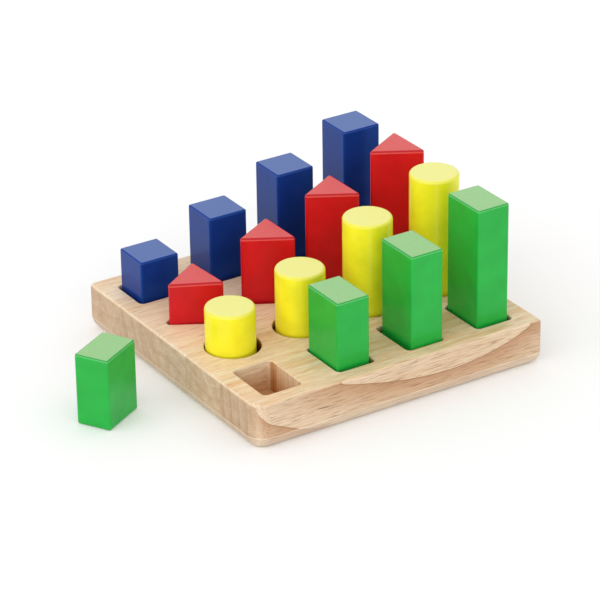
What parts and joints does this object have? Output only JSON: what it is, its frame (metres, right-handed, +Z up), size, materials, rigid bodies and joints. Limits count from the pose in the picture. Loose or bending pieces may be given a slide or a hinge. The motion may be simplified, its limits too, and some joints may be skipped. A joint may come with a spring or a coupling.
{
  "type": "wooden shape sorter",
  "caption": "Wooden shape sorter: a near-square board with a grid of blind sockets that hold painted square, triangular, round and rectangular blocks of rising height, which lift out.",
  "frame": {"origin": "middle of the board's underside", "axes": "+Z up; +X along the grain, from the shortest blocks to the tallest; +Y from the rectangle row to the square row"},
  "size_m": [0.3148, 0.2286, 0.1227],
  "materials": {
    "rubberwood": "clear satin lacquer",
    "green_paint": "satin painted wood",
    "yellow_paint": "satin painted wood",
    "red_paint": "satin painted wood",
    "blue_paint": "satin painted wood"
  },
  "bodies": {
    "board": {"board_stave_1": "rubberwood", "board_stave_2": "rubberwood", "board_stave_3": "rubberwood", "board_stave_4": "rubberwood", "board_stave_5": "rubberwood"},
    "rectangle_block_1": {"rectangle_block_1": "green_paint"},
    "rectangle_block_2": {"rectangle_block_2": "green_paint"},
    "rectangle_block_3": {"rectangle_block_3": "green_paint"},
    "rectangle_block_4": {"rectangle_block_4": "green_paint"},
    "cylinder_block_1": {"cylinder_block_1": "yellow_paint"},
    "cylinder_block_2": {"cylinder_block_2": "yellow_paint"},
    "cylinder_block_3": {"cylinder_block_3": "yellow_paint"},
    "cylinder_block_4": {"cylinder_block_4": "yellow_paint"},
    "triangle_block_1": {"triangle_block_1": "red_paint"},
    "triangle_block_2": {"triangle_block_2": "red_paint"},
    "triangle_block_3": {"triangle_block_3": "red_paint"},
    "triangle_block_4": {"triangle_block_4": "red_paint"},
    "square_block_1": {"square_block_1": "blue_paint"},
    "square_block_2": {"square_block_2": "blue_paint"},
    "square_block_3": {"square_block_3": "blue_paint"},
    "square_block_4": {"square_block_4": "blue_paint"}
  },
  "joints": [
    {"name": "pick_up_rectangle_1", "type": "slide", "parent": "board", "child": "rectangle_block_1", "axis": [0, 0, 1], "range_m": [0, 0.04]},
    {"name": "lift_rectangle_2", "type": "slide", "parent": "board", "child": "rectangle_block_2", "axis": [0, 0, 1], "range_m": [0, 0.028]},
    {"name": "lift_rectangle_3", "type": "slide", "parent": "board", "child": "rectangle_block_3", "axis": [0, 0, 1], "range_m": [0, 0.028]},
    {"name": "lift_rectangle_4", "type": "slide", "parent": "board", "child": "rectangle_block_4", "axis": [0, 0, 1], "range_m": [0, 0.028]},
    {"name": "lift_cylinder_1", "type": "slide", "parent": "board", "child": "cylinder_block_1", "axis": [0, 0, 1], "range_m": [0, 0.028]},
    {"name": "lift_cylinder_2", "type": "slide", "parent": "board", "child": "cylinder_block_2", "axis": [0, 0, 1], "range_m": [0, 0.028]},
    {"name": "lift_cylinder_3", "type": "slide", "parent": "board", "child": "cylinder_block_3", "axis": [0, 0, 1], "range_m": [0, 0.028]},
    {"name": "lift_cylinder_4", "type": "slide", "parent": "board", "child": "cylinder_block_4", "axis": [0, 0, 1], "range_m": [0, 0.028]},
    {"name": "lift_triangle_1", "type": "slide", "parent": "board", "child": "triangle_block_1", "axis": [0, 0, 1], "range_m": [0, 0.028]},
    {"name": "lift_triangle_2", "type": "slide", "parent": "board", "child": "triangle_block_2", "axis": [0, 0, 1], "range_m": [0, 0.028]},
    {"name": "lift_triangle_3", "type": "slide", "parent": "board", "child": "triangle_block_3", "axis": [0, 0, 1], "range_m": [0, 0.028]},
    {"name": "lift_triangle_4", "type": "slide", "parent": "board", "child": "triangle_block_4", "axis": [0, 0, 1], "range_m": [0, 0.028]},
    {"name": "lift_square_1", "type": "slide", "parent": "board", "child": "square_block_1", "axis": [0, 0, 1], "range_m": [0, 0.028]},
    {"name": "lift_square_2", "type": "slide", "parent": "board", "child": "square_block_2", "axis": [0, 0, 1], "range_m": [0, 0.028]},
    {"name": "lift_square_3", "type": "slide", "parent": "board", "child": "square_block_3", "axis": [0, 0, 1], "range_m": [0, 0.028]},
    {"name": "lift_square_4", "type": "slide", "parent": "board", "child": "square_block_4", "axis": [0, 0, 1], "range_m": [0, 0.028]}
  ]
}
